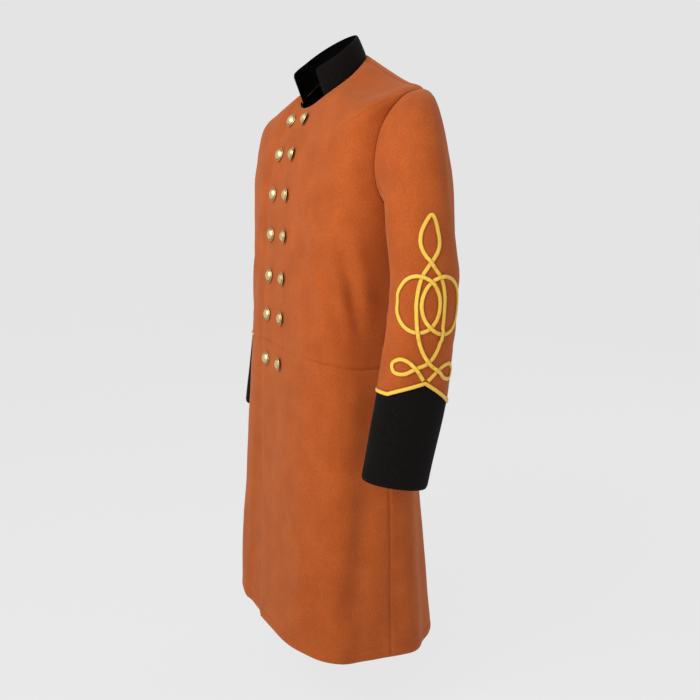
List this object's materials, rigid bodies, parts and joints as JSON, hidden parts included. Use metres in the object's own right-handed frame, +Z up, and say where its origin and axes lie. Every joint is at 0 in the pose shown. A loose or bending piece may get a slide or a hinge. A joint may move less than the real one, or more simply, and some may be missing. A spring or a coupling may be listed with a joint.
{
  "type": "frock coat",
  "caption": "Knee-length double-breasted frock coat in orange wool with a black stand collar, black pointed cuffs and yellow braid knots on the sleeves.",
  "frame": {"origin": "where the wearer's shoulders hold the coat: the middle of the neck, level with the shoulder slope", "axes": "+Z up along the wearer, -Y out of the coat's front, +X towards the wearer's left"},
  "size_m": [0.7162, 0.3142, 1.1028],
  "materials": {
    "orange_wool": "napped wool broadcloth, matt",
    "black_wool": "napped wool broadcloth, matt",
    "yellow_braid": "flat woven worsted braid",
    "brass": "domed, lightly worn polish"
  },
  "bodies": {
    "root": {"front_left": "orange_wool", "front_right": "orange_wool", "back_left": "orange_wool", "back_right": "orange_wool", "skirt_front_left": "orange_wool", "skirt_front_right": "orange_wool", "skirt_back_left": "orange_wool", "skirt_back_right": "orange_wool", "sleeve_upper_left": "orange_wool", "sleeve_upper_right": "orange_wool", "sleeve_under_left": "orange_wool", "sleeve_under_right": "orange_wool", "collar": "black_wool", "cuff_left": "black_wool", "cuff_right": "black_wool", "cuff_braid_left": "yellow_braid", "cuff_braid_right": "yellow_braid", "knot_strand_left": "yellow_braid", "knot_strand_right": "yellow_braid", "knot_ring_front_left": "yellow_braid", "knot_ring_front_right": "yellow_braid", "knot_ring_back_left": "yellow_braid", "knot_ring_back_right": "yellow_braid", "button_left_1": "brass", "button_left_2": "brass", "button_left_3": "brass", "button_left_4": "brass", "button_left_5": "brass", "button_left_6": "brass", "button_left_7": "brass", "button_right_1": "brass", "button_right_2": "brass", "button_right_3": "brass", "button_right_4": "brass", "button_right_5": "brass", "button_right_6": "brass", "button_right_7": "brass"}
  },
  "joints": []
}
